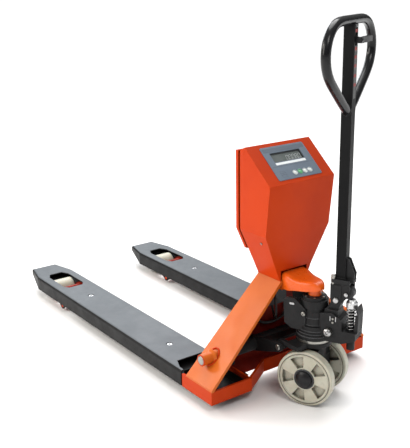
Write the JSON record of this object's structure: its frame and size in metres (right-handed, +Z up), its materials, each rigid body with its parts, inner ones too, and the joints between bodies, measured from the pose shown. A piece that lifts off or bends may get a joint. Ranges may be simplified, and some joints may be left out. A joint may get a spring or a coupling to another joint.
{
  "type": "pallet scale",
  "caption": "Hand pallet truck with weighing forks, sloped terminal housing, steered hydraulic pump, nylon wheels and a loop handle.",
  "frame": {"origin": "centre of the footprint, on the floor, with the forks fully lowered", "axes": "+Y along the forks towards their tips, +X across the forks to the right of somebody looking along the forks from the handle, +Z up"},
  "size_m": [0.6858, 1.6585, 1.22],
  "materials": {
    "weigh_cover": "satin grey powder coat",
    "black_paint": "satin black paint",
    "black_gloss": "gloss black paint",
    "orange_paint": "orange-red enamel",
    "plated_steel": "zinc plated",
    "spring_steel": "bright wire",
    "chrome": "ground and chromed",
    "overlay": "printed membrane",
    "lcd": "liquid crystal glass",
    "board": "solder mask",
    "battery": "moulded case",
    "black_plastic": "moulded",
    "cable": "sheath",
    "cast_iron": "painted dark grey casting",
    "nylon": "cast nylon",
    "bronze": "sintered bronze",
    "key_white": "moulded",
    "key_green": "moulded"
  },
  "bodies": {
    "frame": {"weigh_cover_left": "weigh_cover", "weigh_cover_right": "weigh_cover", "fork_channel_left": "black_paint", "fork_channel_right": "black_paint", "load_cells": "plated_steel", "load_cell_bolts": "plated_steel", "load_buttons": "plated_steel", "heel_frame": "orange_paint", "strap_left": "orange_paint", "strap_right": "orange_paint", "rocker_shaft": "plated_steel", "back_plate": "orange_paint", "frame_head": "orange_paint", "lift_ram": "chrome", "terminal_housing": "orange_paint", "terminal_back_plate": "orange_paint", "housing_screws": "plated_steel", "display_overlay": "overlay", "lcd_module": "lcd", "main_board": "board", "battery_pack": "battery", "junction_box": "black_plastic", "signal_cable": "cable"},
    "lift_yoke": {"lift_yoke": "cast_iron", "thrust_bearing": "plated_steel"},
    "pump_unit": {"pump_body": "cast_iron", "ram_gland": "cast_iron", "pump_bolts": "plated_steel", "steer_axle": "plated_steel", "handle_pivot_pin": "plated_steel"},
    "handle": {"handle_tube": "black_paint", "handle_loop": "black_gloss", "handle_foot": "cast_iron", "handle_bolts": "plated_steel", "cam_roller_pin": "plated_steel"},
    "cam_roller": {"cam_roller": "plated_steel"},
    "control_lever": {"control_lever": "black_plastic"},
    "release_lever": {"release_lever": "plated_steel"},
    "plunger": {"plunger": "plated_steel", "plunger_spring": "spring_steel"},
    "wheel_left": {"steer_wheel_left": "nylon", "wheel_bearings_left": "plated_steel", "hub_cap_left": "black_plastic"},
    "wheel_right": {"steer_wheel_right": "nylon", "wheel_bearings_right": "plated_steel", "hub_cap_right": "black_plastic"},
    "rocker": {"rocker": "cast_iron", "rocker_bushes": "bronze", "rocker_pins": "plated_steel"},
    "push_rods": {"push_rods": "orange_paint"},
    "roller_frames": {"roller_frames": "orange_paint", "roller_axles": "plated_steel"},
    "load_roller_left": {"load_roller_left": "nylon", "roller_bearings_left": "plated_steel"},
    "load_roller_right": {"load_roller_right": "nylon", "roller_bearings_right": "plated_steel"},
    "key_1": {"key_1": "key_white"},
    "key_2": {"key_2": "key_green"},
    "key_3": {"key_3": "key_white"},
    "key_4": {"key_4": "key_white"}
  },
  "joints": [
    {"name": "lift", "type": "slide", "parent": "frame", "child": "lift_yoke", "axis": [0, 0, -1], "range_m": [0, 0.115]},
    {"name": "steer", "type": "hinge", "parent": "lift_yoke", "child": "pump_unit", "pos_m": [0, -0.65224, 0.23], "axis": [0, 0, 1], "range_deg": [-115, 65]},
    {"name": "handle_pump", "type": "hinge", "parent": "pump_unit", "child": "handle", "pos_m": [0.03381, -0.72475, 0.362], "axis": [0.9063, 0.4226, 0], "range_deg": [0, 67]},
    {"name": "cam_roller_spin", "type": "hinge", "parent": "handle", "child": "cam_roller", "pos_m": [0.04733, -0.75375, 0.385], "axis": [0.9063, 0.4226, 0], "continuous": true},
    {"name": "control_lever_tilt", "type": "hinge", "parent": "handle", "child": "control_lever", "pos_m": [0.04099, -0.74016, 1.153], "axis": [0.9063, 0.4226, 0], "range_deg": [-12, 12], "stiffness_Nm_per_rad": 1.2},
    {"name": "release_lever_tilt", "type": "hinge", "parent": "pump_unit", "child": "release_lever", "pos_m": [0.02536, -0.70662, 0.288], "axis": [0.9063, 0.4226, 0], "range_deg": [-12, 12]},
    {"name": "plunger_stroke", "type": "slide", "parent": "pump_unit", "child": "plunger", "axis": [0, 0, -1], "range_m": [0, 0.0436], "deforming": ["plunger_spring"]},
    {"name": "wheel_left_spin", "type": "hinge", "parent": "pump_unit", "child": "wheel_left", "pos_m": [-0.058, -0.67929, 0.094], "axis": [0.9063, 0.4226, 0], "continuous": true},
    {"name": "wheel_right_spin", "type": "hinge", "parent": "pump_unit", "child": "wheel_right", "pos_m": [0.058, -0.6252, 0.094], "axis": [0.9063, 0.4226, 0], "continuous": true},
    {"name": "rocker_turn", "type": "hinge", "parent": "frame", "child": "rocker", "pos_m": [0, -0.47275, 0.153], "axis": [1, 0, 0], "range_deg": [0, 52.5]},
    {"name": "push_rod_slide", "type": "slide", "parent": "frame", "child": "push_rods", "axis": [0, 1, 0], "range_m": [0, 0.0319]},
    {"name": "roller_frame_turn", "type": "hinge", "parent": "frame", "child": "roller_frames", "pos_m": [0, 0.50926, 0.022], "axis": [-1, 0, 0], "range_deg": [0, 50.9]},
    {"name": "load_roller_left_spin", "type": "hinge", "parent": "roller_frames", "child": "load_roller_left", "pos_m": [-0.2596, 0.64926, 0.04], "axis": [1, 0, 0], "continuous": true},
    {"name": "load_roller_right_spin", "type": "hinge", "parent": "roller_frames", "child": "load_roller_right", "pos_m": [0.2596, 0.64926, 0.04], "axis": [1, 0, 0], "continuous": true},
    {"name": "key_1_press", "type": "slide", "parent": "frame", "child": "key_1", "axis": [0, 0.6496, -0.7603], "range_m": [0, 0.0012], "stiffness_N_per_m": 1500},
    {"name": "key_2_press", "type": "slide", "parent": "frame", "child": "key_2", "axis": [0, 0.6496, -0.7603], "range_m": [0, 0.0012], "stiffness_N_per_m": 1500},
    {"name": "key_3_press", "type": "slide", "parent": "frame", "child": "key_3", "axis": [0, 0.6496, -0.7603], "range_m": [0, 0.0012], "stiffness_N_per_m": 1500},
    {"name": "key_4_press", "type": "slide", "parent": "frame", "child": "key_4", "axis": [0, 0.6496, -0.7603], "range_m": [0, 0.0012], "stiffness_N_per_m": 1500}
  ],
  "couplings": [
    {"joint": "rocker_turn", "follows": "lift", "rad_per_m": 7.9375},
    {"joint": "push_rod_slide", "follows": "lift", "ratio": 0.27652},
    {"joint": "roller_frame_turn", "follows": "lift", "rad_per_m": 7.6946},
    {"joint": "plunger_stroke", "follows": "handle_pump", "m_per_rad": 0.0372},
    {"joint": "release_lever_tilt", "follows": "control_lever_tilt", "ratio": 1}
  ]
}
